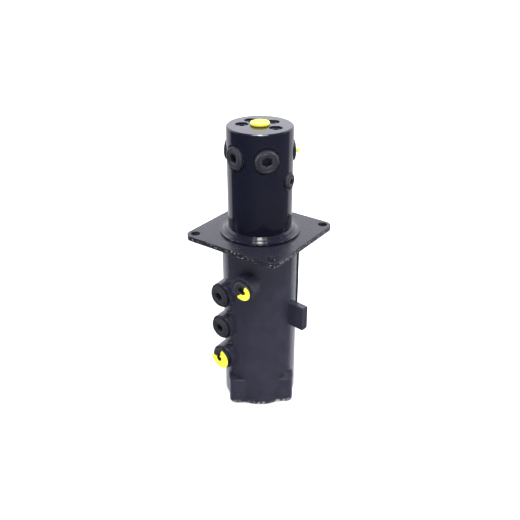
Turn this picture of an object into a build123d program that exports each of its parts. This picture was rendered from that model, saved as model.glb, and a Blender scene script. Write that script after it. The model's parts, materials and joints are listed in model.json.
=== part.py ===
from build123d import *
import os
from math import cos, radians, sin, sqrt

# Hydraulic rotary union (centre joint), in millimetres. +Z is the swivel axis, the origin is the
# centre of the base face, and azimuths are counted from -Y towards +X.
# The housing stands still. The spindle, its flange plate and its plugs turn in it.

# ---- driving dimensions ---------------------------------------------------------------------
running_clearance = 0.05    # radial, spindle journal in the housing bore and guide rings
seal_clearance = 0.03       # radial, seal lip over the journal
thread_clearance = 0.05     # radial, plug shank in its tapped port
seat_gap = 0.3              # air between a cover and the moving piece behind it

# spindle
journal_radius = 30.0
head_radius = 37.5          # the thick upper cylinder
head_height = 126.0         # above the flange plate
head_chamfer = 1.3
collar_radius = 47.3        # foot ring that lies on the plate
collar_height = 2.3
collar_inner_radius = 44.2  # where the flare leaves the foot ring
flare_height = 7.2
pilot_radius = 33.0         # step that passes through the plate
spindle_bottom = 26.0
circuit_groove_depth = 3.5
circuit_groove_height = 8.0
drain_groove_height = 6.0

# flange plate
plate_side = 127.6
plate_thickness = 6.0
plate_corner_radius = 10.0
plate_underside = 225.0
plate_bolt_circle = 152.7
plate_hole_radius = 5.5
weld_leg = 4.0
rest_turn = 9.4             # azimuth of the plate's leading corner at rest

# housing
barrel_radius = 45.6
housing_top = 223.5
housing_top_round = 4.5
cover_thickness = 14.0
base_height = 37.0          # top of the four screw lobes
base_square = 82.0
base_corner_radius = 9.0
lobe_turn = 2.5             # lobes against the housing's front
base_edge_chamfer = 1.6
cavity_radius = 35.0        # lower chamber for the thrust and snap rings
cavity_top = 40.4
boss_radius = 15.5
boss_root_radius = 17.6
boss_root_distance = 28.0
boss_face_distance = 53.3
boss_azimuth = -41.0
boss_offset = -16.0         # the bosses stand to one side of the axis
boss_passage_end = 21.0     # depth at which a boss's passage has met its groove
boss_heights = (156.6, 111.3, 66.0)
rear_azimuth = 128.0
rear_heights = (196.0, 134.0)
rear_pad_radius = 47.4
rear_pad_low = 133.0
rear_pad_high = 213.0
rear_pad_half_angle = 46.0
rear_foot_low = 116.0       # narrower foot of the pad, for the lower rear port
rear_foot_half_angle = 24.0
rear_spot_distance = 45.2
spot_radius = 15.5
drain_boss_azimuth = -32.0
drain_boss_offset = 11.8
drain_boss_height = 179.5
drain_boss_face = 57.5
drain_boss_flats = 29.6
drain_boss_root = 24.0
lug_azimuth = 48.0
lug_offset = 9.65
lug_thickness = 10.3
lug_low = 111.8
lug_high = 143.3
lug_root = 36.0
lug_reach = 64.3
lug_round = 1.5

# oil passages
passage_radius = 5.0
drain_passage_radius = 3.0
gallery_radius = 5.0
drain_gallery_radius = 3.0
gallery_below_groove = 3.0
cross_drilling_radius = 3.6
drain_cross_radius = 2.6

# seals in the housing bore, from the lowest up
seal_heights = (56.0, 88.6, 122.6, 145.3, 169.3, 188.0, 203.8)
seal_groove_height = 3.4
seal_groove_depth = 4.1
seal_ring_height = 3.2
seal_ring_thickness = 2.0
guide_heights = (47.0, 211.0)
guide_height = 8.0
guide_thickness = 2.0
wiper_seat = 216.8
wiper_outer_radius = 35.5

# plugs: head radius, head height, washer radius, washer thickness, thread radius, key size
port_head_radius = 13.0
port_head_height = 4.0
port_washer_radius = 14.3
port_washer_thickness = 2.0
port_thread_radius = 10.4
port_key = 10.0
port_key_depth = 7.0
port_shank = 11.0
port_tap_depth = 13.0
rear_shank = 7.5
rear_tap_depth = 9.0
drain_head_radius = 11.0
drain_head_height = 3.0
drain_washer_radius = 12.0
drain_washer_thickness = 1.5
drain_thread_radius = 8.3
drain_key = 8.0
drain_spot_depth = 1.2
small_head_radius = 9.0
small_head_height = 3.5
small_washer_radius = 10.3
small_washer_thickness = 1.5
small_thread_radius = 6.5
small_key = 6.0
key_depth_small = 5.0
small_shank = 9.0
small_tap_depth = 11.0
head_edge_chamfer = 0.8

# ports round the spindle's head, azimuths from the plate's leading corner
head_port_height = 96.0     # above the plate
head_spot_distance = 34.4
head_spot_radius = 15.0
small_port_height = 67.3
small_port_angle = 51.0
small_spot_distance = 36.0
small_spot_radius = 10.6
port_drill_end = 17.0       # where a port's drilling stops, from the axis
head_drill_radius = 6.0
small_drill_radius = 2.6

# gallery plugs, flush in the spindle's ends
gallery_plug_radius = 7.5
gallery_plug_length = 9.0
gallery_plug_sink = 1.6
gallery_plug_key = 6.0
gallery_plug_key_depth = 5.0
lower_plug_radius = 6.0
lower_plug_length = 7.0
lower_plug_key = 6.0

# centre port and its plastic cap
centre_port_radius = 9.2
centre_port_depth = 20.0
cap_flange_radius = 10.8
cap_flange_height = 3.4
cap_wall = 1.4
cap_skirt_depth = 9.0
cap_clearance = 0.1

# torn plastic caps left on the plugs
torn_disc_radius = 13.8
torn_disc_skirt = 2.0       # rim left round the plug's head
torn_disc_hole = 4.2
torn_disc_thickness = 1.0
torn_ring_radius = 9.0
torn_ring_hole = 3.6
torn_stub_radius = 2.0
torn_stub_reach = 5.6
torn_disc_break_angles = (97.0, 170.0)
torn_ring_break_angles = (88.0, 205.0)

# axial retention and the end cover
snap_groove_radius = 27.6
snap_ring_outer = 33.6
snap_ring_thickness = 3.0
snap_ring_mouth = 10.0
thrust_ring_outer = 34.6
thrust_ring_thickness = 5.6
thrust_gap = 0.1
spigot_clearance = 0.05
spigot_height = 7.0
cover_ring_section = 2.4
cover_screw_radius = 4.0    # M8
cover_screw_head_radius = 6.5
cover_screw_head_height = 8.0
cover_screw_reach = 20.0    # thread length in the housing lobe
cover_screw_key = 6.0
cover_screw_inset = 8.8     # from the sides of the base

# ---- values that follow ---------------------------------------------------------------------
plate_top = plate_underside + plate_thickness
spindle_top = plate_top + head_height
bore_radius = journal_radius + running_clearance
groove_radius = journal_radius - circuit_groove_depth
seal_groove_radius = bore_radius + seal_groove_depth
snap_ring_high = cavity_top - 2 * thrust_gap - thrust_ring_thickness
snap_ring_low = snap_ring_high - snap_ring_thickness
spigot_radius = cavity_radius - spigot_clearance
cover_screw_centre = (base_square / 2 - cover_screw_inset) * sqrt(2)

# Main circuits of the spindle. Angles are counted from the plate's leading corner. Circuits a and b
# have their galleries drilled from the bottom end, the others from the top.
port_angles = {"a": 2.0, "b": -58.0, "c": -117.0, "d": 94.0, "f": -177.0}
gallery_angles = {"a": 2.0, "b": -58.0, "c": -105.4, "d": 117.6, "f": -158.4}
gallery_distances = {"a": 20.0, "b": 20.0, "c": 20.0, "d": 18.0, "f": 20.0}
groove_centres = dict(zip("abcdf", boss_heights + rear_heights))
bottom_circuits = ("a", "b")
top_circuits = ("c", "d", "f")
drain_gallery_angle = 44.6
drain_gallery_distance = 21.0
drain_groove_centre = 181.0


def outward(azimuth):
    """Horizontal unit vector at an azimuth."""
    return Vector(sin(radians(azimuth)), -cos(radians(azimuth)), 0)


def side_plane(azimuth, distance, height, offset=0.0):
    """Vertical plane that faces outwards at an azimuth; its y is up and its x runs to the right."""
    across = Vector(cos(radians(azimuth)), sin(radians(azimuth)), 0)
    origin = outward(azimuth) * distance + across * offset + Vector(0, 0, height)
    return Plane(origin=origin, x_dir=across, z_dir=outward(azimuth))


def turned(angle):
    """Azimuth at rest of a place on the spindle."""
    return angle + rest_turn


def axis_point(azimuth, distance):
    """Plan position of a vertical drilling."""
    place = outward(azimuth) * distance
    return (place.X, place.Y)


def save(piece, label):
    """Name a finished piece and write its file."""
    piece.label = label
    export_step(piece, f"parts/{label}.step")


def make_ring(label, inner, outer, low, high, edge=0.0):
    """Plain ring round the swivel axis."""
    with BuildPart() as ring:
        with BuildSketch(Plane.XY.offset(low)):
            Circle(outer)
            Circle(inner, mode=Mode.SUBTRACT)
        extrude(amount=high - low)
        if edge > 0:
            chamfer(ring.edges().filter_by(GeomType.CIRCLE).group_by(SortBy.RADIUS)[-1], length=edge)
    save(ring.part, label)


def make_plug(label, seat, head_r, head_h, thread_r, shank, key, key_depth):
    """Hex socket screw plug; the seat plane is the underside of its head."""
    with BuildPart() as plug:
        with BuildSketch(seat):
            Circle(head_r)
        extrude(amount=head_h)
        top = plug.faces().sort_by(Axis(seat.origin, seat.z_dir))[-1]
        chamfer(top.edges(), length=head_edge_chamfer)
        with BuildSketch(seat):
            Circle(thread_r)
        extrude(amount=-shank)
        with BuildSketch(seat.offset(head_h)):
            RegularPolygon(key / 2, 6, major_radius=False)
        extrude(amount=-key_depth, mode=Mode.SUBTRACT)
    save(plug.part, label)


def make_washer(label, seat, outer, inner, thickness):
    """Bonded seal between a plug's head and its spot face."""
    with BuildPart() as washer:
        with BuildSketch(seat):
            Circle(outer)
            Circle(inner, mode=Mode.SUBTRACT)
        extrude(amount=thickness)
    save(washer.part, label)


def plug_with_washer(suffix, face, shank):
    """G1/2 plug on its bonded seal, on the given face."""
    make_washer(f"bonded_seal_{suffix}", face, port_washer_radius, port_thread_radius + thread_clearance,
                port_washer_thickness)
    make_plug(f"port_plug_{suffix}", face.offset(port_washer_thickness), port_head_radius,
              port_head_height, port_thread_radius, shank + port_washer_thickness, port_key, port_key_depth)


def bore_out(plane, radius, depth):
    """Cut a round hole from a plane inwards in the part being built."""
    with BuildSketch(plane) as mouth:
        Circle(radius)
    extrude(mouth.sketch, amount=-depth, mode=Mode.SUBTRACT)


def turn_groove(inner, outer, centre, height):
    """Cut an annular groove round the swivel axis in the part being built."""
    with BuildSketch(Plane.XY.offset(centre - height / 2)) as annulus:
        Circle(outer)
        Circle(inner, mode=Mode.SUBTRACT)
    extrude(annulus.sketch, amount=height, mode=Mode.SUBTRACT)


def base_outline():
    """Round base with four screw lobes."""
    Circle(barrel_radius)
    RectangleRounded(base_square, base_square, base_corner_radius, rotation=lobe_turn)


os.makedirs("parts", exist_ok=True)

# ---- housing --------------------------------------------------------------------------------
boss_faces = [side_plane(boss_azimuth, boss_face_distance, height, boss_offset) for height in boss_heights]
rear_faces = [side_plane(rear_azimuth, rear_spot_distance, height) for height in rear_heights]
drain_face_plane = side_plane(drain_boss_azimuth, drain_boss_face, drain_boss_height, drain_boss_offset)

with BuildPart() as housing:
    with BuildSketch(Plane.XY.offset(cover_thickness)):
        Circle(barrel_radius)
    extrude(amount=housing_top - cover_thickness)
    fillet(housing.edges().filter_by(GeomType.CIRCLE).sort_by(Axis.Z)[-1], radius=housing_top_round)
    with BuildSketch(Plane.XY.offset(cover_thickness)):
        base_outline()
    extrude(amount=base_height - cover_thickness)
    # thickened back wall for the two rear ports, with a narrower foot
    for low, high, half_angle in ((rear_pad_low, rear_pad_high, rear_pad_half_angle),
                                  (rear_foot_low, rear_pad_low, rear_foot_half_angle)):
        with BuildSketch(Plane.XY.offset(low)):
            with BuildLine():
                rim = CenterArc((0, 0), rear_pad_radius, rear_azimuth - 90 - half_angle, 2 * half_angle)
                Line(rim @ 1, (0, 0))
                Line((0, 0), rim @ 0)
            make_face()
        extrude(amount=high - low)
    # three round port bosses in a column
    for height in boss_heights:
        with BuildSketch(side_plane(boss_azimuth, boss_root_distance, height, boss_offset)):
            Circle(boss_root_radius)
        with BuildSketch(side_plane(boss_azimuth, boss_face_distance, height, boss_offset)):
            Circle(boss_radius)
        loft()
    # eight-sided drain boss
    with BuildSketch(drain_face_plane):
        RegularPolygon(drain_boss_flats / 2, 8, major_radius=False, rotation=22.5)
    extrude(amount=-drain_boss_root)
    # torque lug
    with BuildSketch(side_plane(lug_azimuth, lug_reach, (lug_low + lug_high) / 2, lug_offset)):
        RectangleRounded(lug_thickness, lug_high - lug_low, lug_round)
    extrude(amount=-(lug_reach - lug_root))
    # bore, lower chamber, wiper seat and seal grooves
    bore_out(Plane.XY.offset(housing_top), bore_radius, housing_top - cover_thickness)
    bore_out(Plane.XY.offset(cavity_top), cavity_radius, cavity_top - cover_thickness)
    bore_out(Plane.XY.offset(housing_top), wiper_outer_radius, housing_top - wiper_seat)
    for height in seal_heights:
        turn_groove(journal_radius, seal_groove_radius, height, seal_groove_height)
    for height in guide_heights:
        turn_groove(journal_radius, bore_radius + guide_thickness, height, guide_height)
    # tapped ports with their passages to the bore
    for face in boss_faces:
        bore_out(face, port_thread_radius + thread_clearance, port_tap_depth)
        bore_out(face, passage_radius, boss_face_distance - boss_passage_end)
    for face in rear_faces:
        with BuildSketch(face):
            Circle(spot_radius)
        extrude(amount=rear_pad_radius - rear_spot_distance + 1, mode=Mode.SUBTRACT)
        bore_out(face, port_thread_radius + thread_clearance, rear_tap_depth)
        bore_out(face, passage_radius, rear_spot_distance - groove_radius)
    bore_out(drain_face_plane, drain_washer_radius + thread_clearance, drain_spot_depth)
    bore_out(drain_face_plane, drain_thread_radius + thread_clearance, small_tap_depth + drain_spot_depth)
    bore_out(drain_face_plane, drain_passage_radius, drain_boss_face - drain_boss_root)
    # tapped holes for the cover screws
    with BuildSketch(Plane.XY.offset(cover_thickness)):
        with PolarLocations(cover_screw_centre, 4, start_angle=45 + lobe_turn):
            Circle(cover_screw_radius + thread_clearance)
    extrude(amount=cover_screw_reach + 2, mode=Mode.SUBTRACT)
save(housing.part, "housing")

# ---- end cover and its fixings ----------------------------------------------------------------
cover_ring_height = cover_thickness + spigot_height / 2

with BuildPart() as end_cover:
    with BuildSketch():
        base_outline()
    extrude(amount=cover_thickness)
    chamfer(end_cover.faces().sort_by(Axis.Z)[0].edges(), length=base_edge_chamfer)
    with BuildSketch(Plane.XY.offset(cover_thickness)):
        Circle(spigot_radius)
    extrude(amount=spigot_height)
    turn_groove(spigot_radius - cover_ring_section, cavity_radius, cover_ring_height, cover_ring_section)
    with BuildSketch():
        with PolarLocations(cover_screw_centre, 4, start_angle=45 + lobe_turn):
            Circle(cover_screw_head_radius + thread_clearance)
    extrude(amount=cover_screw_head_height, mode=Mode.SUBTRACT)
    with BuildSketch():
        with PolarLocations(cover_screw_centre, 4, start_angle=45 + lobe_turn):
            Circle(cover_screw_radius + 2 * thread_clearance)
    extrude(amount=cover_thickness, mode=Mode.SUBTRACT)
save(end_cover.part, "end_cover")

with BuildPart() as cover_screws:
    with BuildSketch():
        with PolarLocations(cover_screw_centre, 4, start_angle=45 + lobe_turn):
            Circle(cover_screw_radius)
    extrude(amount=cover_thickness + cover_screw_reach)
    with BuildSketch(Plane.XY.offset(seat_gap)):
        with PolarLocations(cover_screw_centre, 4, start_angle=45 + lobe_turn):
            Circle(cover_screw_head_radius)
    extrude(amount=cover_screw_head_height - seat_gap)
    with BuildSketch():
        with PolarLocations(cover_screw_centre, 4, start_angle=45 + lobe_turn):
            RegularPolygon(cover_screw_key / 2, 6, major_radius=False)
    extrude(amount=cover_screw_head_height / 2, mode=Mode.SUBTRACT)
save(cover_screws.part, "cover_screws")

make_ring("cover_seal", spigot_radius - cover_ring_section, spigot_radius,
          cover_ring_height - cover_ring_section / 2, cover_ring_height + cover_ring_section / 2)

# ---- seals, guides and retention --------------------------------------------------------------
seal_inner = journal_radius + seal_clearance
for number, height in enumerate(seal_heights, start=1):
    low = height - seal_ring_height / 2
    high = height + seal_ring_height / 2
    make_ring(f"rotary_seal_{number}", seal_inner, seal_inner + seal_ring_thickness, low, high)
    make_ring(f"energiser_{number}", seal_inner + seal_ring_thickness, seal_groove_radius, low, high)

for name, height in zip(("lower", "upper"), guide_heights):
    make_ring(f"{name}_guide_ring", seal_inner, bore_radius + guide_thickness,
              height - guide_height / 2, height + guide_height / 2)

make_ring("dust_wiper", journal_radius + running_clearance, wiper_outer_radius, wiper_seat,
          plate_underside - seat_gap, edge=0.8)
make_ring("thrust_ring", journal_radius + running_clearance, thrust_ring_outer,
          snap_ring_high + thrust_gap, cavity_top - thrust_gap, edge=0.6)

with BuildPart() as snap_ring:
    with BuildSketch(Plane.XY.offset(snap_ring_low)):
        Circle(snap_ring_outer)
        Circle(snap_groove_radius, mode=Mode.SUBTRACT)
        with Locations((0, -snap_ring_outer)):
            Rectangle(snap_ring_mouth, 2 * snap_ring_mouth, mode=Mode.SUBTRACT)
    extrude(amount=snap_ring_thickness)
save(snap_ring.part, "snap_ring")

# ---- spindle ----------------------------------------------------------------------------------
head_faces = {circuit: side_plane(turned(angle), head_spot_distance, plate_top + head_port_height)
              for circuit, angle in port_angles.items()}
gallery_places = {circuit: axis_point(turned(angle), gallery_distances[circuit])
                  for circuit, angle in gallery_angles.items()}
small_seat = side_plane(turned(small_port_angle), small_spot_distance, plate_top + small_port_height)
drain_place = axis_point(turned(drain_gallery_angle), drain_gallery_distance)

with BuildPart() as spindle:
    with BuildSketch(Plane.XZ):
        with BuildLine():
            Polyline((0, spindle_bottom), (journal_radius, spindle_bottom),
                     (journal_radius, plate_underside), (pilot_radius, plate_underside),
                     (pilot_radius, plate_top), (collar_radius, plate_top),
                     (collar_radius, plate_top + collar_height),
                     (collar_inner_radius, plate_top + collar_height),
                     (head_radius, plate_top + flare_height),
                     (head_radius, spindle_top - head_chamfer),
                     (head_radius - head_chamfer, spindle_top), (0, spindle_top), close=True)
        make_face()
    revolve(axis=Axis.Z)
    # annular grooves that face the housing's passages
    for groove_centre in groove_centres.values():
        turn_groove(groove_radius, bore_radius, groove_centre, circuit_groove_height)
    turn_groove(groove_radius, bore_radius, drain_groove_centre, drain_groove_height)
    turn_groove(snap_groove_radius, bore_radius, (snap_ring_low + snap_ring_high) / 2,
                snap_ring_thickness)
    # head ports, each with a spot face, a tapped bore, a drilling, a gallery and a cross drilling
    for circuit, face in head_faces.items():
        with BuildSketch(face):
            Circle(head_spot_radius)
        extrude(amount=head_radius - head_spot_distance + 1, mode=Mode.SUBTRACT)
        bore_out(face, port_thread_radius + thread_clearance, port_tap_depth)
        bore_out(face, head_drill_radius, head_spot_distance - port_drill_end)
        place = gallery_places[circuit]
        if circuit in top_circuits:
            low = groove_centres[circuit] - gallery_below_groove
            high = spindle_top
            plug_radius = gallery_plug_radius
            plug_depth = gallery_plug_length + gallery_plug_sink
        else:
            low = spindle_bottom
            high = plate_top + head_port_height
            plug_radius = lower_plug_radius
            plug_depth = -lower_plug_length
        with BuildSketch(Plane.XY.offset(low)):
            with Locations(place):
                Circle(gallery_radius)
        extrude(amount=high - low, mode=Mode.SUBTRACT)
        with BuildSketch(Plane.XY.offset(high if circuit in top_circuits else low)):
            with Locations(place):
                Circle(plug_radius + thread_clearance)
        extrude(amount=-plug_depth, mode=Mode.SUBTRACT)
        cross = side_plane(turned(gallery_angles[circuit]), journal_radius, groove_centres[circuit])
        bore_out(cross, cross_drilling_radius, journal_radius - gallery_distances[circuit])
    # drain port, gallery and cross drilling
    with BuildSketch(small_seat):
        Circle(small_spot_radius)
    extrude(amount=head_radius - small_spot_distance + 1, mode=Mode.SUBTRACT)
    bore_out(small_seat, small_thread_radius + thread_clearance, small_tap_depth)
    bore_out(small_seat, small_drill_radius, small_spot_distance - drain_gallery_distance)
    with BuildSketch(Plane.XY.offset(spindle_top)):
        with Locations(drain_place):
            Circle(drain_gallery_radius)
    extrude(amount=-(spindle_top - drain_groove_centre), mode=Mode.SUBTRACT)
    with BuildSketch(Plane.XY.offset(spindle_top)):
        with Locations(drain_place):
            Circle(gallery_plug_radius + thread_clearance)
    extrude(amount=-(gallery_plug_length + gallery_plug_sink), mode=Mode.SUBTRACT)
    cross = side_plane(turned(drain_gallery_angle), journal_radius, drain_groove_centre)
    bore_out(cross, drain_cross_radius, journal_radius - drain_gallery_distance)
    # centre port
    bore_out(Plane.XY.offset(spindle_top), centre_port_radius, centre_port_depth)
save(spindle.part, "spindle")

# ---- flange plate and its root weld -------------------------------------------------------------
with BuildPart() as flange_plate:
    with BuildSketch(Plane.XY.offset(plate_underside)):
        RectangleRounded(plate_side, plate_side, plate_corner_radius, rotation=rest_turn + 45)
        Circle(pilot_radius + thread_clearance, mode=Mode.SUBTRACT)
        with PolarLocations(plate_bolt_circle / 2, 4, start_angle=rest_turn - 90):
            Circle(plate_hole_radius, mode=Mode.SUBTRACT)
    extrude(amount=plate_thickness)
    bore_edge = flange_plate.edges().filter_by(GeomType.CIRCLE).filter_by(
        lambda edge: edge.radius > plate_bolt_circle / 5)
    chamfer(bore_edge.sort_by(Axis.Z)[0], length=weld_leg)
save(flange_plate.part, "flange_plate")

with BuildPart() as root_weld:
    with BuildSketch(Plane.XZ):
        with BuildLine():
            Polyline((pilot_radius, plate_underside), (pilot_radius + weld_leg, plate_underside),
                     (pilot_radius, plate_underside + weld_leg), close=True)
        make_face()
    revolve(axis=Axis.Z)
save(root_weld.part, "root_weld")

# ---- plugs ------------------------------------------------------------------------------------
for circuit, face in head_faces.items():
    plug_with_washer(circuit, face, port_shank)
for number, face in enumerate(boss_faces, start=1):
    plug_with_washer(f"front_{number}", face, port_shank)
for number, face in enumerate(rear_faces, start=1):
    plug_with_washer(f"rear_{number}", face, rear_shank)

make_washer("bonded_seal_e", small_seat, small_washer_radius, small_thread_radius + thread_clearance,
            small_washer_thickness)
make_plug("port_plug_e", small_seat.offset(small_washer_thickness), small_head_radius,
          small_head_height, small_thread_radius, small_shank, small_key, key_depth_small)

drain_seat = drain_face_plane.offset(-drain_spot_depth)
make_washer("bonded_seal_drain", drain_seat, drain_washer_radius, drain_thread_radius + thread_clearance,
            drain_washer_thickness)
make_plug("port_plug_drain", drain_seat.offset(drain_washer_thickness), drain_head_radius,
          drain_head_height, drain_thread_radius, small_shank, drain_key, key_depth_small)

# recessed plugs in the ends of the galleries
top_places = [gallery_places[circuit] for circuit in top_circuits] + [drain_place]
with BuildPart() as gallery_plugs:
    with BuildSketch(Plane.XY.offset(spindle_top - gallery_plug_sink)):
        with Locations(*top_places):
            Circle(gallery_plug_radius)
    extrude(amount=-gallery_plug_length)
    with BuildSketch(Plane.XY.offset(spindle_top - gallery_plug_sink)):
        with Locations(*top_places):
            RegularPolygon(gallery_plug_key / 2, 6, major_radius=False)
    extrude(amount=-gallery_plug_key_depth, mode=Mode.SUBTRACT)
save(gallery_plugs.part, "gallery_plugs")

bottom_places = [gallery_places[circuit] for circuit in bottom_circuits]
with BuildPart() as lower_gallery_plugs:
    with BuildSketch(Plane.XY.offset(spindle_bottom)):
        with Locations(*bottom_places):
            Circle(lower_plug_radius)
    extrude(amount=lower_plug_length)
    with BuildSketch(Plane.XY.offset(spindle_bottom)):
        with Locations(*bottom_places):
            RegularPolygon(lower_plug_key / 2, 6, major_radius=False)
    extrude(amount=lower_plug_length / 2, mode=Mode.SUBTRACT)
save(lower_gallery_plugs.part, "lower_gallery_plugs")

# ---- plastic caps -----------------------------------------------------------------------------
with BuildPart() as centre_cap:
    skirt_radius = centre_port_radius - cap_clearance
    with BuildSketch(Plane.XZ):
        with BuildLine():
            Polyline((0, spindle_top + cap_wall), (skirt_radius - 2 * cap_wall, spindle_top + cap_wall),
                     (skirt_radius - cap_wall, spindle_top + cap_flange_height),
                     (cap_flange_radius - cap_wall / 2, spindle_top + cap_flange_height),
                     (cap_flange_radius, spindle_top + cap_flange_height - cap_wall / 2),
                     (cap_flange_radius, spindle_top), (skirt_radius, spindle_top),
                     (skirt_radius, spindle_top - cap_skirt_depth),
                     (skirt_radius - cap_wall, spindle_top - cap_skirt_depth),
                     (skirt_radius - cap_wall, spindle_top), (0, spindle_top), close=True)
        make_face()
    revolve(axis=Axis.Z)
save(centre_cap.part, "centre_cap")


def make_torn_disc(label, face, outer, hole, break_angles, skirt=0.0):
    """Flat flange left over from a plastic cap, with a sector torn out between two angles.

    A skirt is a thin rim that reaches back round the plug's head.
    """
    ends = [(2 * outer * cos(radians(angle)), 2 * outer * sin(radians(angle))) for angle in break_angles]
    with BuildPart() as disc:
        with BuildSketch(face):
            Circle(outer)
            Circle(hole, mode=Mode.SUBTRACT)
            with BuildLine():
                Polyline((0, 0), *ends, close=True)
            make_face(mode=Mode.SUBTRACT)
        extrude(amount=torn_disc_thickness)
        if skirt > 0:
            with BuildSketch(face):
                Circle(outer)
                Circle(port_head_radius + thread_clearance, mode=Mode.SUBTRACT)
                with BuildLine():
                    Polyline((0, 0), *ends, close=True)
                make_face(mode=Mode.SUBTRACT)
            extrude(amount=-skirt)
    save(disc.part, label)


lowest_head = boss_faces[-1].offset(port_washer_thickness + port_head_height)
make_torn_disc("torn_cap_front_3", lowest_head, torn_disc_radius, torn_disc_hole,
               torn_disc_break_angles, torn_disc_skirt)
drain_head = drain_seat.offset(drain_washer_thickness + drain_head_height)
make_torn_disc("torn_cap_drain", drain_head, torn_ring_radius, torn_ring_hole, torn_ring_break_angles)

socket_floor = head_faces["d"].offset(port_washer_thickness + port_head_height - port_key_depth)
with BuildPart() as torn_cap_d:
    with BuildSketch(socket_floor):
        Circle(torn_stub_radius)
    extrude(amount=port_key_depth + torn_stub_reach)
save(torn_cap_d.part, "torn_cap_d")
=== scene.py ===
"""Looks of a hydraulic rotary union: painted casting, turned spindle head, screw plugs and plastic caps.

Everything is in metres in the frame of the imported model: +Z is the swivel axis and the origin is the
centre of the base. Azimuths are counted from -Y towards +X.
"""
import json
from math import radians
from typing import NamedTuple

import bpy
import numpy as np
from bpy.props import FloatProperty, FloatVectorProperty, IntProperty, PointerProperty
from bpy.types import Operator, Panel, PropertyGroup
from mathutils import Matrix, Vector


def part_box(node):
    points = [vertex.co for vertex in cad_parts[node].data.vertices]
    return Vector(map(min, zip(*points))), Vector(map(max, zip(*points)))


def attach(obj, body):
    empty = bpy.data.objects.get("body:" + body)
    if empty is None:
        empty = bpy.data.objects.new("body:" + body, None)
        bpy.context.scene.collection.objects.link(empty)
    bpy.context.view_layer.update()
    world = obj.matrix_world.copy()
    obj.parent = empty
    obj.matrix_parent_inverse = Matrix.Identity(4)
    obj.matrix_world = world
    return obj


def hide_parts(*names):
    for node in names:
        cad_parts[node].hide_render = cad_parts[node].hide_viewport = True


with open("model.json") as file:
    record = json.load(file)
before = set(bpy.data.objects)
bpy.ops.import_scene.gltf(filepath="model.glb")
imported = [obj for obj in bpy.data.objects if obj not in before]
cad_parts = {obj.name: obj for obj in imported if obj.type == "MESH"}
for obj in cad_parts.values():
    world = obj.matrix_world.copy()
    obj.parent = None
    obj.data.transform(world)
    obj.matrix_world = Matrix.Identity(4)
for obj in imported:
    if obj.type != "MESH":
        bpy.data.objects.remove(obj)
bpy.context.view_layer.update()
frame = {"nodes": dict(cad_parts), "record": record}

bl_info = {
    "name": "Hydraulic rotary union",
    "version": (1, 0, 0),
    "blender": (4, 5, 0),
    "location": "View3D > Sidebar > Rotary union",
    "description": "Finishes, plugs and caps for a hydraulic rotary union",
    "category": "Object",
}

MM = 0.001


# ---- meshes -----------------------------------------------------------------------------------
def loft_faces(rows, columns):
    """Quads between neighbouring rows of closed loops, and a fan of triangles to a pole at each end.

    Loop point (r, c) has index r * columns + c, the first pole follows the last loop point and the
    second pole follows that. Quad corners run (r, c), (r, c + 1), (r + 1, c + 1), (r + 1, c)."""
    column = np.arange(columns)
    following = (column + 1) % columns
    start = (np.arange(rows - 1) * columns)[:, None]
    quads = np.stack([start + column, start + following,
                      start + columns + following, start + columns + column], axis=-1).reshape(-1, 4)
    first_pole = np.full(columns, rows * columns)
    last_pole = first_pole + 1
    last = (rows - 1) * columns
    fans = np.concatenate([np.stack([first_pole, following, column], axis=-1),
                           np.stack([last_pole, last + column, last + following], axis=-1)])
    return quads, fans


def lofted(name, loops, poles, sharp=35.0):
    """Closed skin over an array of loops (rows, columns, 3), closed by a pole at each end."""
    rows, columns = loops.shape[:2]
    quads, fans = loft_faces(rows, columns)
    points = np.concatenate([loops.reshape(-1, 3), np.asarray(poles).reshape(2, 3)])
    mesh = bpy.data.meshes.new(name)
    mesh.from_pydata(points.tolist(), [], quads.tolist() + fans.tolist())
    mesh.polygons.foreach_set("use_smooth", np.ones(len(mesh.polygons), dtype=bool))
    mesh.set_sharp_from_angle(angle=radians(sharp))
    piece = bpy.data.objects.new(name, mesh)
    bpy.context.scene.collection.objects.link(piece)
    return piece


def widest_flat(node):
    """Centre and outward normal of the largest flat face of a CAD node.

    Triangles whose normals agree to three figures count as one face; its centre is their
    area-weighted mean."""
    mesh = frame["nodes"][node].data
    count = len(mesh.polygons)
    normals = np.empty(count * 3)
    centres = np.empty(count * 3)
    areas = np.empty(count)
    mesh.polygons.foreach_get("normal", normals)
    mesh.polygons.foreach_get("center", centres)
    mesh.polygons.foreach_get("area", areas)
    normals = normals.reshape(-1, 3)
    centres = centres.reshape(-1, 3)
    outwards = np.einsum("ij,ij->i", normals[:, :2], centres[:, :2]) > 0
    keys, member = np.unique(np.round(normals[outwards], 3), axis=0, return_inverse=True)
    member = member.reshape(-1)
    totals = np.bincount(member, weights=areas[outwards])
    best = member == np.argmax(totals)
    weight = areas[outwards][best][:, None]
    centre = (centres[outwards][best] * weight).sum(axis=0) / weight.sum()
    normal = (normals[outwards][best] * weight).sum(axis=0)
    return centre, normal / np.linalg.norm(normal)


def stood_on(points, origin, normal):
    """Points of a local frame (x across, y up, z out along the normal) carried to the origin."""
    across = np.cross([0.0, 0.0, 1.0], normal)
    across /= np.linalg.norm(across)
    up = np.cross(normal, across)
    return origin + points @ np.stack([across, up, normal])


def bumpy(angle, seed, waves):
    """Smooth closed wobble of an angle: a sum of sines of falling size with seeded phases."""
    phases = np.random.default_rng(seed).uniform(0, 2 * np.pi, len(waves))
    orders = np.asarray(waves)[:, None]
    total = np.sin(orders * np.ravel(angle) + phases[:, None]) / np.sqrt(orders)
    return total.sum(axis=0).reshape(np.shape(angle)) / len(waves)


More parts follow.
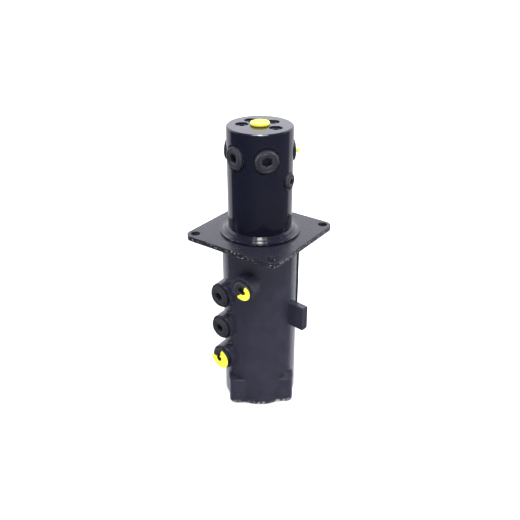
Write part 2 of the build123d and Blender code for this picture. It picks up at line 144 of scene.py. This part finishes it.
# ---- shader maths -----------------------------------------------------------------------------
class Value:
    """Socket of a node tree that can be added, multiplied and compared as a number can."""

    def __init__(self, graph, socket):
        self.graph = graph
        self.socket = socket

    def __add__(self, other):
        return self.graph.maths("ADD", self, other)

    def __radd__(self, other):
        return self.graph.maths("ADD", other, self)

    def __sub__(self, other):
        return self.graph.maths("SUBTRACT", self, other)

    def __rsub__(self, other):
        return self.graph.maths("SUBTRACT", other, self)

    def __mul__(self, other):
        return self.graph.maths("MULTIPLY", self, other)

    def __rmul__(self, other):
        return self.graph.maths("MULTIPLY", other, self)

    def __truediv__(self, other):
        return self.graph.maths("DIVIDE", self, other)

    def __rtruediv__(self, other):
        return self.graph.maths("DIVIDE", other, self)

    def __gt__(self, other):
        return self.graph.maths("GREATER_THAN", self, other)

    def __lt__(self, other):
        return self.graph.maths("LESS_THAN", self, other)


class Graph:
    """Node tree of a material or a world, written as sums."""

    def __init__(self, owner, shader, output, coordinates):
        self.owner = owner
        owner.use_nodes = True
        self.tree = owner.node_tree
        self.tree.nodes.clear()
        self.surface = self.tree.nodes.new(shader)
        self.tree.links.new(self.surface.outputs[0], self.tree.nodes.new(output).inputs[0])
        self.place = self.node("ShaderNodeTexCoord").outputs[coordinates]
        parts = self.node("ShaderNodeSeparateXYZ", Vector=self.place)
        self.x, self.y, self.z = (Value(self, parts.outputs[i]) for i in range(3))

    def join(self, socket, value):
        """Link a socket or Value, or set a plain number, vector or colour."""
        if isinstance(value, Value):
            self.tree.links.new(value.socket, socket)
        elif isinstance(value, bpy.types.NodeSocket):
            self.tree.links.new(value, socket)
        else:
            socket.default_value = value

    def node(self, kind, settings=None, **inputs):
        """New node with its settings and named inputs; an input called i0, i1 is taken by number."""
        made = self.tree.nodes.new(kind)
        for key, value in (settings or {}).items():
            setattr(made, key, value)
        for key, value in inputs.items():
            number = key[1:]
            socket = made.inputs[int(number)] if number.isdigit() else made.inputs[key.replace("_", " ")]
            self.join(socket, value)
        return made

    def maths(self, operation, first, second=0.0):
        made = self.node("ShaderNodeMath", {"operation": operation}, i0=first, i1=second)
        return Value(self, made.outputs[0])

    def scaled(self, x, y, z):
        """Object coordinates stretched along each axis."""
        made = self.node("ShaderNodeVectorMath", {"operation": "MULTIPLY"}, i0=self.place, i1=(x, y, z))
        return made.outputs[0]

    def from_axis(self):
        """Distance from the vertical axis."""
        return self.maths("SQRT", self.x * self.x + self.y * self.y)

    def round_axis(self, around, along, out):
        """Coordinates that follow the swivel axis: turn, height and distance, each scaled."""
        turn = self.maths("ARCTAN2", self.x, self.y * -1.0) * around
        reach = self.from_axis() * out
        return self.node("ShaderNodeCombineXYZ", X=turn, Y=self.z * along, Z=reach).outputs[0]

    def noise(self, size, detail=2.0, roughness=0.5, vector=None):
        """Noise whose features are about the given size across, from 0 to 1."""
        made = self.node("ShaderNodeTexNoise", Vector=vector or self.place, Scale=1.0 / size,
                         Detail=detail, Roughness=roughness)
        return Value(self, made.outputs[0])

    def step(self, value, low, high, to_low=0.0, to_high=1.0):
        """Smooth step of a value from one level to another."""
        made = self.node("ShaderNodeMapRange", {"interpolation_type": "SMOOTHSTEP"}, Value=value,
                         From_Min=low, From_Max=high, To_Min=to_low, To_Max=to_high)
        return Value(self, made.outputs[0])

    def blend(self, factor, first, second):
        """Colour between two colours."""
        made = self.node("ShaderNodeMix", {"data_type": "RGBA"}, i0=factor, i6=first, i7=second)
        return made.outputs[2]

    def bump(self, height, depth, normal=None):
        """Normal of a surface raised by the given height, 0 to 1, times a depth in metres."""
        made = self.node("ShaderNodeBump", Height=height, Distance=depth)
        if normal is not None:
            self.join(made.inputs["Normal"], normal)
        return made.outputs[0]

    def eased(self, radius):
        """Normal that rounds edges off by a small radius."""
        return self.node("ShaderNodeBevel", {"samples": 6}, Radius=radius).outputs[0]

    def finish(self, **inputs):
        """Set the surface's own inputs and return the material or world."""
        for key, value in inputs.items():
            self.join(self.surface.inputs[key.replace("_", " ")], value)
        return self.owner


# ---- finishes -----------------------------------------------------------------------------------
# The chipped iron colour is partly chipped paint and partly a painted glint at the casting's foot.
CHIPPED_IRON_AND_GLINT = (0.70, 0.69, 0.66, 1.0)
GROUND_STEEL = (0.55, 0.55, 0.56, 1.0)
# The bare cut colour is partly chipped paint and partly a painted glint on the plate's edges.
BARE_CUT_AND_GLINT = (0.42, 0.42, 0.44, 1.0)
RUBBED_PLATING = (0.30, 0.29, 0.28, 1.0)
RUBBED_WASHER = (0.16, 0.16, 0.17, 1.0)

FOOT_CHIPS_AND_GLINTS = (1.5 * MM, 6.0 * MM)      # chips and painted glints fade out between these heights
FLARE_LINE = 41.1 * MM                # radius of the line turned into the flare
FLARE_LINE_HALF = (0.2 * MM, 0.7 * MM)


def coating(name):
    """Graph of a new material."""
    material = bpy.data.materials.new(name)
    return Graph(material, "ShaderNodeBsdfPrincipled", "ShaderNodeOutputMaterial", "Object")


def lighter(colour, times):
    """Colour scaled by a number, opaque."""
    return (*[min(1.0, c * times) for c in colour[:3]], 1.0)


def casting_paint(s):
    """Satin dark paint over cast iron: orange peel, sand grain, and light flecks at the foot that are
    partly chipped paint and partly painted glints.
    """
    g = coating("casting_paint")
    grain = g.noise(1.1 * MM, 4.0, 0.6)
    peel = g.noise(4.0 * MM)
    patches = g.noise(30.0 * MM, 3.0)
    chips_and_glints = g.noise(3.2 * MM, 5.0, 0.7)
    foot = 1.0 - g.step(g.z, *FOOT_CHIPS_AND_GLINTS)
    # light flecks near the foot: partly chipped paint, partly painted glints
    bright_flecks = g.step(chips_and_glints + g.step(patches, 0.4, 0.7) * 0.05, 0.53, 0.57) * foot
    dust = g.step(patches, 0.42, 0.75) * 0.35
    paint = g.blend(dust, lighter(s.satin, 0.9), lighter(s.satin, 1.5))
    colour = g.blend(bright_flecks, paint, CHIPPED_IRON_AND_GLINT)
    normal = g.bump(grain * 0.4 + peel - bright_flecks * 0.8, 0.22 * MM, g.eased(1.3 * MM))
    return g.finish(Base_Color=colour, Roughness=g.step(grain, 0.25, 0.75, 0.13, 0.22) + bright_flecks * 0.2,
                    Normal=normal)


def turned_paint(s):
    """Glossy dark paint over a turned surface, bare ground steel below the plate."""
    g = coating("turned_paint")
    steel = g.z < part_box("flange_plate")[0][2]
    rings = g.noise(1.0, 3.0, 0.6, g.round_axis(0.6, 2600.0, 900.0))
    smudge = g.noise(20.0 * MM, 3.0)
    peel = g.noise(3.0 * MM)
    groove = g.step(g.maths("ABSOLUTE", g.from_axis() - FLARE_LINE), *FLARE_LINE_HALF, 1.0, 0.0)
    paint = g.blend(smudge * 0.4, lighter(s.paint, 0.8), lighter(s.paint, 1.3))
    colour = g.blend(steel, paint, GROUND_STEEL)
    normal = g.bump(peel + rings * 0.25 - groove * 20.0, 0.03 * MM, g.eased(0.9 * MM))
    return g.finish(Base_Color=colour, Roughness=g.step(smudge, 0.3, 0.8, 0.08, 0.15), Metallic=steel,
                    Normal=normal)


def plate_paint(s):
    """Dark paint over hot-rolled plate, with the drag lines of a flame cut down its edges and light flecks
    on them that are partly chipped paint and partly painted glints.
    """
    g = coating("plate_paint")
    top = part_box("flange_plate")[1][2]
    scale = g.noise(6.0 * MM, 4.0, 0.6)
    smudge = g.noise(35.0 * MM, 3.0)
    drag = g.noise(1.0, 3.0, 0.7, g.scaled(1100.0, 1100.0, 60.0))
    edge = g.step(g.z, top - 0.3 * MM, top - 0.1 * MM, 1.0, 0.0)
    chips_and_glints = g.noise(2.2 * MM, 4.0, 0.7)
    # light flecks on the edges: partly chipped paint, partly painted glints
    bright_flecks = g.step(chips_and_glints, 0.60, 0.64) * edge
    paint = g.blend(smudge * 0.5, lighter(s.satin, 0.3), lighter(s.satin, 0.8))
    colour = g.blend(bright_flecks, paint, BARE_CUT_AND_GLINT)
    normal = g.bump(scale * 0.25 + drag * edge * 1.6 + chips_and_glints * edge, 0.3 * MM, g.eased(0.9 * MM))
    return g.finish(Base_Color=colour, Roughness=g.step(scale, 0.3, 0.7, 0.24, 0.34),
                    Metallic=bright_flecks * 0.2, Normal=normal, Specular_IOR_Level=0.42)


def plug_paint(s):
    """Thin dark paint over plated steel plugs, rubbed through in small spots."""
    g = coating("plug_paint")
    rub = g.noise(1.6 * MM, 4.0, 0.65)
    smudge = g.noise(12.0 * MM)
    bright_flecks = g.step(rub, 0.60, 0.68) * 0.35
    paint = g.blend(smudge, lighter(s.paint, 0.6), lighter(s.paint, 1.5))
    return g.finish(Base_Color=g.blend(bright_flecks, paint, RUBBED_PLATING),
                    Roughness=g.step(smudge, 0.3, 0.7, 0.16, 0.26), Metallic=bright_flecks,
                    Normal=g.bump(rub, 0.03 * MM))


def washer_paint(s):
    """Painted steel ring of a bonded seal."""
    g = coating("washer_paint")
    rub = g.noise(1.2 * MM, 4.0, 0.6)
    colour = g.blend(g.step(rub, 0.55, 0.7), lighter(s.paint, 0.8), RUBBED_WASHER)
    return g.finish(Base_Color=colour, Roughness=g.step(rub, 0.3, 0.7, 0.25, 0.42),
                    Metallic=g.step(rub, 0.5, 0.7, 0.0, 0.6),
                    Normal=g.bump(rub, 0.05 * MM, g.eased(0.4 * MM)))


def yellow_plastic(s):
    """Soft moulded polyethylene, slightly milky, with a fine moulding haze."""
    g = coating("yellow_plastic")
    haze = g.noise(1.6 * MM, 3.0)
    cloud = g.noise(9.0 * MM)
    colour = g.blend(cloud * 0.35, s.plastic, lighter(s.plastic, 0.82))
    return g.finish(Base_Color=colour, Roughness=g.step(haze, 0.3, 0.7, 0.32, 0.44),
                    Normal=g.bump(haze, 0.04 * MM), Subsurface_Weight=0.25,
                    Subsurface_Radius=(2.0 * MM, 2.0 * MM, 0.5 * MM))


def plain_finish(name, colour, roughness, metallic, size, depth):
    """Fine-grained finish of a hidden piece: noise of the given size moves colour, gloss and relief."""
    g = coating(name)
    grain = g.noise(size, 3.0)
    return g.finish(Base_Color=g.blend(grain, lighter(colour, 0.75), lighter(colour, 1.2)),
                    Roughness=g.step(grain, 0.3, 0.7, roughness - 0.06, roughness + 0.06),
                    Metallic=metallic, Normal=g.bump(grain, depth))


# colour, roughness, metal, size of the grain and its depth
HIDDEN_FINISHES = {
    "ptfe": ((0.62, 0.60, 0.54), 0.45, 0.0, 0.8 * MM, 0.02 * MM),
    "guide_polymer": ((0.12, 0.16, 0.10), 0.55, 0.0, 0.6 * MM, 0.03 * MM),
    "nitrile": ((0.012, 0.012, 0.013), 0.6, 0.0, 0.5 * MM, 0.03 * MM),
    "screw_steel": ((0.05, 0.05, 0.055), 0.35, 1.0, 0.7 * MM, 0.02 * MM),
    "spring_steel": ((0.16, 0.16, 0.18), 0.3, 1.0, 0.9 * MM, 0.02 * MM),
}


# ---- sizes and colours --------------------------------------------------------------------------
class UnionFinish(PropertyGroup):
    """Colours of the paint and the plastic."""
    paint: FloatVectorProperty(name="Gloss paint", description="Dark coat over the turned steel", size=3,
                               subtype="COLOR", default=(0.0060, 0.0065, 0.0160), min=0.0, max=1.0)
    satin: FloatVectorProperty(name="Satin paint", description="Dark coat over the casting", size=3,
                               subtype="COLOR", default=(0.028, 0.028, 0.046), min=0.0, max=1.0)
    plastic: FloatVectorProperty(name="Caps", description="Colour of the moulded caps", size=4,
                                 subtype="COLOR", default=(0.85, 0.86, 0.02, 1.0), min=0.0, max=1.0)


class UnionPlugs(PropertyGroup):
    """Sizes of the large screw plugs and their teeth."""
    teeth: IntProperty(name="Teeth", description="Serrations round a plug's head", default=42, min=12)
    tooth_depth: FloatProperty(name="Tooth depth", description="Depth of the serrations",
                               default=0.75 * MM, unit="LENGTH")
    key_side: FloatProperty(name="Key size", description="Width across flats of a large plug's socket",
                            default=10 * MM, unit="LENGTH")
    head_height: FloatProperty(name="Head height", description="Height of a large plug's head",
                               default=4 * MM, unit="LENGTH")
    thread_pitch: FloatProperty(name="Thread pitch", description="Pitch of the G1/2 thread",
                                default=1.814 * MM, unit="LENGTH")


class UnionCaps(PropertyGroup):
    """Sizes of the plastic caps."""
    dimple: FloatProperty(name="Dimple depth", description="Depth of the dimple in the centre cap",
                          default=1.3 * MM, unit="LENGTH")
    disc_thickness: FloatProperty(name="Disc thickness", description="Thickness of the torn discs",
                                  default=0.9 * MM, unit="LENGTH")


class UnionStage(PropertyGroup):
    """Lens and place of the camera."""
    lens: FloatProperty(name="Lens", description="Focal length of the camera on a 36 mm sensor",
                        default=43.19, min=10.0)
    camera_distance: FloatProperty(name="Camera distance", description="From the axis, level",
                                   default=0.6683, unit="LENGTH")
    camera_height: FloatProperty(name="Camera height", description="Height of the camera over the floor",
                                 default=0.5516, unit="LENGTH")
    camera_pitch: FloatProperty(name="Camera pitch", description="Angle below the level",
                                default=radians(28.48), subtype="ANGLE")


# ---- operators ----------------------------------------------------------------------------------
def coat(piece, material):
    """Give a piece one material."""
    piece.data.materials.clear()
    piece.data.materials.append(material)


def body_of(node):
    """Name of the body that carries a CAD node."""
    for body, nodes in frame["record"]["behaviour"]["bodies"].items():
        if node in nodes:
            return body
    raise ValueError(f"no body carries {node}")


def stand_for(piece, node, finish):
    """Let a finished piece ride on a node's body in the node's place."""
    coat(piece, bpy.data.materials[finish])
    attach(piece, body_of(node))
    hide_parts(node)


def turned(reach, height, turn):
    """Loops of points at the given distances from the z axis and heights, one row a loop.

    A point at angle t has x = reach cos t and y = reach sin t."""
    height = np.broadcast_to(height, np.broadcast_shapes(reach.shape, turn.shape))
    return np.stack([reach * np.cos(turn), reach * np.sin(turn), height], axis=-1)


class UNION_OT_finishes(Operator):
    """Put the painted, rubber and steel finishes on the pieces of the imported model"""
    bl_idname = "rotary_union.finishes"
    bl_label = "Finishes"

    def execute(self, context):
        s = context.scene.union_finish
        made = {"casting_paint": casting_paint(s), "turned_paint": turned_paint(s),
                "plate_paint": plate_paint(s), "plug_paint": plug_paint(s),
                "washer_paint": washer_paint(s), "yellow_plastic": yellow_plastic(s)}
        for name, look in HIDDEN_FINISHES.items():
            made[name] = plain_finish(name, *look)
        slots = {part["node"]: part["material_slot"] for part in frame["record"]["subparts"]}
        for name, node in frame["nodes"].items():
            coat(node, made[slots[name]])
        return {"FINISHED"}


class PlugSize(NamedTuple):
    """Sizes of a screw plug with a hexagon socket, in metres."""
    head_radius: float
    head_height: float
    key: float
    key_depth: float
    thread_radius: float
    shank: float
    pitch: float


FINE_PITCH = 1.337 * MM          # G1/4 and G3/8
FULL_SHANK = 12.8 * MM
REAR_SHANK = 9.2 * MM            # the rear ports are shallower


def plug_size(name, s):
    """Size of the plug in a node's place: G3/8 in the drain, G1/4 low on the head and G1/2 elsewhere."""
    if name == "port_plug_drain":
        return PlugSize(head_radius=11 * MM, head_height=3 * MM, key=8 * MM, key_depth=5 * MM,
                        thread_radius=8.3 * MM, shank=8.8 * MM, pitch=FINE_PITCH)
    if name == "port_plug_e":
        return PlugSize(head_radius=9 * MM, head_height=3.5 * MM, key=6 * MM, key_depth=5 * MM,
                        thread_radius=6.5 * MM, shank=8.8 * MM, pitch=FINE_PITCH)
    return PlugSize(head_radius=13 * MM, head_height=s.head_height, key=s.key_side, key_depth=7 * MM,
                    thread_radius=10.4 * MM, shank=REAR_SHANK if "rear" in name else FULL_SHANK,
                    pitch=s.thread_pitch)


def plug_skin(size, teeth, tooth_depth):
    """Loops of a screw plug in its own frame, z = 0 at the underside of its head.

    Row by row the radius is hexagonal down in the socket (half the key over the cosine of the angle
    to the nearest flat's middle) with a bevelled mouth. The face is round and ends in a sloping rim,
    whose height and radius follow a triangle wave of the turn, which cuts the serrations. On the shank
    the radius follows a triangle wave of height minus turn, which makes the helical thread."""
    columns = teeth * 6
    turn = np.arange(columns) * 2 * np.pi / columns
    sixth = np.pi / 3
    hexagon = size.key / 2 / np.cos((turn + sixth / 2) % sixth - sixth / 2)
    tooth = np.abs((turn * teeth / (2 * np.pi)) % 1.0 - 0.5) * 2
    edge, face = size.head_radius, size.head_height
    floor = face - size.key_depth
    mouth = 0.75 * MM
    land = edge - 2.3 * MM
    groove = face - 0.45 * MM
    shoulder = face - 0.6 * MM - tooth_depth * tooth
    serrated = edge - 0.3 * tooth_depth * tooth
    rows = [(hexagon * 0.9, floor), (hexagon, floor + 0.3 * MM), (hexagon, face - mouth),
            (hexagon + 0.62 * MM, face - 0.06 * MM), (hexagon + mouth, face),
            (land * 0.86, face), (land * 0.90, groove), (land * 0.96, groove),
            (land, face - 0.05 * MM), (land + 0.3 * MM, face - 0.1 * MM - tooth_depth * 0.7 * tooth),
            (edge - 0.25 * MM, shoulder - 0.05 * MM), (serrated, shoulder - 0.4 * MM),
            (serrated, 0.75 * MM), (edge - 0.55 * MM, 0.35 * MM), (edge - 0.6 * MM, 0.0),
            (size.thread_radius - 0.7 * MM, 0.0)]
    for height in np.arange(-1.0 * MM, 0.8 * MM - size.shank, -size.pitch / 4):
        wave = np.abs((height / size.pitch + turn / (2 * np.pi)) % 1.0 - 0.5) * 2
        rows.append((size.thread_radius - 0.75 * MM * wave, height))
    rows.append((size.thread_radius - 0.9 * MM, 0.4 * MM - size.shank))
    rows.append((size.thread_radius - 1.3 * MM, -size.shank))
    reach = np.array([np.broadcast_to(r, columns) for r, z in rows])
    height = np.array([np.broadcast_to(z, columns) for r, z in rows])
    poles = [(0.0, 0.0, floor - 0.9 * MM), (0.0, 0.0, -size.shank)]
    return turned(reach, height, turn), np.array(poles)


class UNION_OT_plugs(Operator):
    """Make the screw plugs with their serrated heads, hexagon sockets and threads"""
    bl_idname = "rotary_union.plugs"
    bl_label = "Screw plugs"

    def execute(self, context):
        s = context.scene.union_plugs
        names = sorted(name for name in frame["nodes"] if name.startswith("port_plug_"))
        for number, name in enumerate(names):
            centre, normal = widest_flat(name)
            size = plug_size(name, s)
            teeth = s.teeth if size.head_radius > 10 * MM else int(s.teeth * 0.75)
            loops, poles = plug_skin(size, teeth, s.tooth_depth)
            roll = radians(17.0 * number)
            spin = np.array([[np.cos(roll), np.sin(roll), 0], [-np.sin(roll), np.cos(roll), 0], [0, 0, 1]])
            seat = centre - normal * size.head_height
            piece = lofted(name + "_detailed", stood_on(loops @ spin, seat, normal),
                           stood_on(poles @ spin, seat, normal))
            stand_for(piece, name, "plug_paint")
        return {"FINISHED"}


CAP_RIM = 10.8                   # mm, radius of the profile's rim
CAP_WEB = 4.4                    # mm, from the top to the underside between the skirt's walls


class UNION_OT_centre_cap(Operator):
    """Mould the round plastic cap in the spindle's centre port"""
    bl_idname = "rotary_union.centre_cap"
    bl_label = "Centre cap"

    def execute(self, context):
        s = context.scene.union_caps
        low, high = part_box("centre_cap")
        rim = (high[0] - low[0]) / 2
        top = high[2]
        dimple = s.dimple / MM
        # radius and height below the top, from the dimple over the rim and down the hollow skirt
        profile = np.array([
            (1.6, -dimple), (2.6, 0.25 - dimple), (3.3, -0.75), (5.4, -0.62), (6.9, -0.5), (7.6, -0.12),
            (8.3, 0.0), (9.5, 0.0), (10.2, -0.18), (10.62, -0.55), (CAP_RIM, -1.1), (CAP_RIM, -2.5),
            (10.7, -3.0), (10.35, -3.3), (9.9, -3.4), (9.25, -3.4), (9.1, -3.7), (9.1, -8.0),
            (8.9, -12.0), (8.6, -12.3), (7.8, -12.3), (7.7, -12.0), (7.7, -CAP_WEB)]) * MM
        profile[:, 0] *= rim / (CAP_RIM * MM)
        turn = np.arange(96) * 2 * np.pi / 96
        loops = turned(profile[:, :1], profile[:, 1:] + top, turn)
        poles = [(0, 0, top - s.dimple), (0, 0, top - CAP_WEB * MM)]
        piece = lofted("centre_cap_moulded", loops, poles, 60.0)
        soft = piece.modifiers.new("Subdivision", "SUBSURF")
        soft.levels = soft.render_levels = 1
        stand_for(piece, "centre_cap", "yellow_plastic")
        return {"FINISHED"}


def torn_flange(outer, inner, start, end, thickness, lean, seed, stations=140):
    """Loops of a flat ring whose ends are torn, in its own frame, z = 0 underneath.

    A rounded section is carried round an arc from the start to the end angle. Its inner and outer
    radii wobble with the turn, the inner one grows by a cosine of the angle from the way the hole
    leans, and near both ends each point's angle is moved by a wobble of its radius, which makes the
    jagged break."""
    way = np.linspace(0, 1, stations)[:, None]
    across = np.array([0, 0.03, 0.12, 0.3, 0.5, 0.7, 0.88, 0.97, 1, 0.97, 0.88, 0.7, 0.5, 0.3, 0.12, 0.03])
    lift = np.array([0.5, 0.85, 1, 1, 1, 1, 1, 0.85, 0.5, 0.15, 0, 0, 0, 0, 0, 0.15])
    turn = start + (end - start) * way
    hole = inner * (1 + 0.22 * bumpy(turn, seed, (2, 3, 5, 9, 14)))
    hole = hole + lean[0] * np.cos(turn - lean[1])
    rim = outer * (1 + 0.012 * bumpy(turn, seed + 1, (3, 7, 12)))
    reach = hole + (rim - hole) * across
    tear = 0.16 * bumpy(across * 9.0, seed + 2, (1, 2, 4, 7))
    angle = turn + tear * (np.exp(-way * 9) - np.exp(-(1 - way) * 9))
    curl = 0.9 * MM * (np.exp(-way * 16) * across + np.exp(-(1 - way) * 22) * (1 - across))
    height = thickness * lift + curl + 0.22 * MM * (1 + bumpy(turn * 1.7, seed + 3, (1, 3, 5))) * across
    return turned(reach, height, angle)


# The discs lie on the faces of their plugs. Angles are in degrees, and lean is how far the hole is off
# its middle and which way.
TORN_DISCS = {
    "torn_cap_front_3": {"outer": 13.6 * MM, "inner": 3.7 * MM, "start": 171.0, "end": 437.0,
                         "lean": (2.1 * MM, 204.0), "shift": (0.0, 0.0), "seed": 3},
    "torn_cap_drain": {"outer": 9.7 * MM, "inner": 3.3 * MM, "start": 222.0, "end": 427.0,
                       "lean": (0.4 * MM, 130.0), "shift": (2.6 * MM, -1.7 * MM), "seed": 11},
}
DISC_GAP = 0.02 * MM             # air between a disc and its plug
STUB_ROOT = -12.4                # mm, how deep in the plug's socket the torn stub starts
STUB_SAG = 2.9 * MM


def torn_disc(name, disc, thickness):
    """Torn disc on its plug's face."""
    centre, normal = widest_flat(name.replace("torn_cap", "port_plug"))
    lean = (disc["lean"][0], radians(disc["lean"][1]))
    loops = torn_flange(disc["outer"], disc["inner"], radians(disc["start"]), radians(disc["end"]),
                        thickness, lean, disc["seed"])
    loops = stood_on(loops + np.array([*disc["shift"], DISC_GAP]), centre, normal)
    return lofted(name + "_plastic", loops, [loops[0].mean(axis=0), loops[-1].mean(axis=0)], 50.0)


def torn_stub(name):
    """Torn tail of a cap that hangs out of a plug's socket.

    A round profile whose radius wobbles with the turn, lowered by a power of the way along it."""
    centre, normal = widest_flat(name)
    profile = np.array([(2.0, STUB_ROOT), (2.05, -3.0), (2.15, -1.4), (2.1, -0.7), (1.7, -0.15),
                        (1.0, 0.0)]) * MM
    turn = np.arange(24) * 2 * np.pi / 24
    reach = profile[:, :1] * (1 + 0.14 * bumpy(turn, 5, (2, 3, 5)))
    loops = turned(reach, profile[:, 1:], turn)
    way = 1 - profile[:, 1:] / (STUB_ROOT * MM)
    loops[:, :, 1] -= STUB_SAG * way ** 1.5
    loops = stood_on(loops[::-1], centre, normal)
    return lofted(name + "_plastic", loops, [loops[0].mean(axis=0), loops[-1].mean(axis=0)], 60.0)


class UNION_OT_torn_caps(Operator):
    """Make the torn plastic caps left on the plugs"""
    bl_idname = "rotary_union.torn_caps"
    bl_label = "Torn caps"

    def execute(self, context):
        thickness = context.scene.union_caps.disc_thickness
        for name, disc in TORN_DISCS.items():
            stand_for(torn_disc(name, disc, thickness), name, "yellow_plastic")
        stand_for(torn_stub("torn_cap_d"), "torn_cap_d", "yellow_plastic")
        return {"FINISHED"}


def panel_light(name, place, aim, width, height, power):
    """Plain soft rectangular light that faces a point."""
    data = bpy.data.lights.new(name, "AREA")
    data.shape = "RECTANGLE"
    data.size = width
    data.size_y = height
    data.energy = power
    lamp = bpy.data.objects.new(name, data)
    lamp.location = place
    lamp.rotation_euler = (Vector(aim) - Vector(place)).to_track_quat("-Z", "Y").to_euler()
    bpy.context.scene.collection.objects.link(lamp)
    return lamp


def studio_world():
    """Soft light of a studio from far away, whose brightness depends on the direction alone.

    A wide white wall stands behind the object and past its sides, and the room in front is dim,
    above and below."""
    g = Graph(bpy.data.worlds.new("studio"), "ShaderNodeBackground", "ShaderNodeOutputWorld", "Generated")
    level = g.from_axis()
    behind = g.step(g.y / level, 0.40, 0.50)
    upper = g.step(g.z, -0.05, 0.05)
    front = 0.09 + g.step(g.x / level, -0.9, 0.1) * 0.14 + upper * 0.1
    wall = 1.0 + upper * 0.8
    brightness = front + (wall - front) * behind
    return g.finish(Color=(0.97, 0.975, 1.04, 1.0), Strength=brightness)


def pale_floor():
    """Wide plain floor that doesn't show in the paint."""
    half = 9.0
    mesh = bpy.data.meshes.new("floor")
    mesh.from_pydata([(-half, -half, 0), (half, -half, 0), (half, half, 0), (-half, half, 0)], [],
                     [(0, 1, 2, 3)])
    floor = bpy.data.objects.new("floor", mesh)
    bpy.context.scene.collection.objects.link(floor)
    g = coating("floor")
    cloud = g.noise(0.8)
    coat(floor, g.finish(Base_Color=g.blend(cloud, (0.86, 0.86, 0.86, 1), (0.9, 0.9, 0.9, 1)),
                         Roughness=0.9, Specular_IOR_Level=0.1))
    floor.visible_glossy = False
    return floor


class UNION_OT_stage(Operator):
    """Set up the pale floor, the soft lights and the camera"""
    bl_idname = "rotary_union.stage"
    bl_label = "Stage"

    def execute(self, context):
        s = context.scene.union_stage
        scene = context.scene
        pale_floor()
        window_y, window_z, window_height = -0.46, 1.36, 0.5
        collar = (0, 0, 0.25)
        panel_light("window", (0.0, window_y, window_z), collar, 0.19, window_height, 8.0)
        for side in (-1, 1):
            panel_light("side_window", (0.27 * side, window_y, window_z), collar, 0.24, window_height, 4.0)
            panel_light("softbox", (1.0 * side, 0.08, 0.98), (0, 0, 0.15), 0.12, 0.3, 3.5)
        ceiling = panel_light("ceiling", (0.0, 1.5, 4.0), (0, 1.5, 0), 9.0, 9.0, 400.0)
        ceiling.visible_glossy = False
        scene.world = studio_world()
        scene.view_settings.view_transform = "Standard"
        eye = bpy.data.cameras.new("camera")
        eye.lens = s.lens
        eye.sensor_width = 36.0
        camera = bpy.data.objects.new("camera", eye)
        camera.location = (0.0, -s.camera_distance, s.camera_height)
        camera.rotation_euler = (radians(90) - s.camera_pitch, 0.0, 0.0)
        scene.collection.objects.link(camera)
        scene.camera = camera
        return {"FINISHED"}


class UNION_PT_panel(Panel):
    """Buttons that build the rotary union's looks"""
    bl_idname = "UNION_PT_panel"
    bl_label = "Rotary union"
    bl_space_type = "VIEW_3D"
    bl_region_type = "UI"
    bl_category = "Rotary union"

    def draw(self, context):
        for group in GROUPS:
            settings = getattr(context.scene, group)
            for key in settings.bl_rna.properties.keys():
                if key not in ("rna_type", "name"):
                    self.layout.prop(settings, key)
        for operator in OPERATORS:
            self.layout.operator(operator.bl_idname)


GROUPS = {"union_finish": UnionFinish, "union_plugs": UnionPlugs, "union_caps": UnionCaps,
          "union_stage": UnionStage}
OPERATORS = (UNION_OT_finishes, UNION_OT_plugs, UNION_OT_centre_cap, UNION_OT_torn_caps, UNION_OT_stage)


def register():
    """Register the settings, the operators and the panel."""
    for name, group in GROUPS.items():
        bpy.utils.register_class(group)
        setattr(bpy.types.Scene, name, PointerProperty(type=group))
    for item in (*OPERATORS, UNION_PT_panel):
        bpy.utils.register_class(item)


def unregister():
    """Undo register."""
    for item in (UNION_PT_panel, *reversed(OPERATORS)):
        bpy.utils.unregister_class(item)
    for name, group in GROUPS.items():
        delattr(bpy.types.Scene, name)
        bpy.utils.unregister_class(group)


def main():
    """Build the looks step by step."""
    register()
    for operator in OPERATORS:
        family, name = operator.bl_idname.split(".")
        getattr(getattr(bpy.ops, family), name)()


if __name__ == "__main__":
    main()
